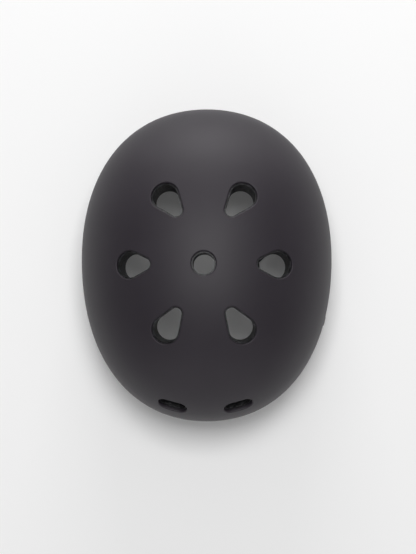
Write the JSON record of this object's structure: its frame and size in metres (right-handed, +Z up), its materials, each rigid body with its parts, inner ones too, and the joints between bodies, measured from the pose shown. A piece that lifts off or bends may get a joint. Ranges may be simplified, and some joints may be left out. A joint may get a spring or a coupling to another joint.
{
  "type": "skateboard helmet",
  "caption": "Round hard-shell skate helmet with round and teardrop vents, foam liner, cloth pads, forked webbing straps and an open side-release buckle.",
  "frame": {"origin": "on the floor, under the middle of the outline", "axes": "+Z up, brow toward -Y, nape toward +Y, the wearer's left toward +X"},
  "size_m": [0.22, 0.275, 0.1598],
  "materials": {
    "shell": "matte soft-touch paint on moulded ABS",
    "foam": "black expanded bead foam",
    "pad_cloth": "brushed black cloth over soft foam",
    "hook_tape": "black hook tape",
    "webbing": "black woven webbing",
    "buckle_plastic": "satin black moulded acetal",
    "keeper_rubber": "black moulded rubber",
    "rivet_metal": "black lacquered steel"
  },
  "bodies": {
    "helmet": {"outer_shell": "shell", "foam_liner": "foam", "brow_pad": "pad_cloth", "nape_pad": "pad_cloth", "left_temple_pad": "pad_cloth", "right_temple_pad": "pad_cloth", "left_side_pad": "pad_cloth", "right_side_pad": "pad_cloth", "crown_pad_front": "pad_cloth", "crown_pad_rear": "pad_cloth", "hook_patches": "hook_tape", "strap_rivets": "rivet_metal", "rivet_washers": "rivet_metal", "left_front_strap_end": "webbing", "left_rear_strap_end": "webbing", "right_front_strap_end": "webbing", "right_rear_strap_end": "webbing"},
    "left_yoke": {"left_front_strap": "webbing", "left_rear_strap": "webbing", "left_divider": "buckle_plastic"},
    "right_yoke": {"right_front_strap": "webbing", "right_rear_strap": "webbing", "right_divider": "buckle_plastic"},
    "left_chin": {"left_chin_strap": "webbing", "buckle_plug": "buckle_plastic"},
    "right_chin": {"right_chin_strap": "webbing", "buckle_socket": "buckle_plastic"},
    "keeper": {"strap_keeper": "keeper_rubber"},
    "inner_prong": {"plug_prong_inner": "buckle_plastic"},
    "outer_prong": {"plug_prong_outer": "buckle_plastic"}
  },
  "joints": [
    {"name": "left_strap_swing", "type": "hinge", "parent": "helmet", "child": "left_yoke", "pos_m": [0.0925, 0.009, 0.00275], "axis": [0, -1, 0], "range_deg": [0, 95]},
    {"name": "right_strap_swing", "type": "hinge", "parent": "helmet", "child": "right_yoke", "pos_m": [-0.0925, 0.009, 0.00275], "axis": [0, 1, 0], "range_deg": [0, 95]},
    {"name": "left_chin_fold", "type": "hinge", "parent": "left_yoke", "child": "left_chin", "pos_m": [0.02518, -0.0085, 0.0034], "axis": [0.8746, -0.4848, 0], "range_deg": [0, 165]},
    {"name": "right_chin_fold", "type": "hinge", "parent": "right_yoke", "child": "right_chin", "pos_m": [-0.02518, -0.0085, 0.0034], "axis": [0.8746, 0.4848, 0], "range_deg": [0, 165]},
    {"name": "keeper_slide", "type": "slide", "parent": "left_chin", "child": "keeper", "axis": [0.4848, 0.8746, 0], "range_m": [-0.0024, 0.0024]},
    {"name": "inner_prong_squeeze", "type": "hinge", "parent": "left_chin", "child": "inner_prong", "pos_m": [0.04782, 0.04802, 0.0083], "axis": [0, 0, -1], "range_deg": [0, 8], "stiffness_Nm_per_rad": 0.05},
    {"name": "outer_prong_squeeze", "type": "hinge", "parent": "left_chin", "child": "outer_prong", "pos_m": [0.06111, 0.04065, 0.0083], "axis": [0, 0, 1], "range_deg": [0, 8], "stiffness_Nm_per_rad": 0.05}
  ],
  "couplings": [
    {"joint": "outer_prong_squeeze", "follows": "inner_prong_squeeze", "ratio": 1}
  ]
}
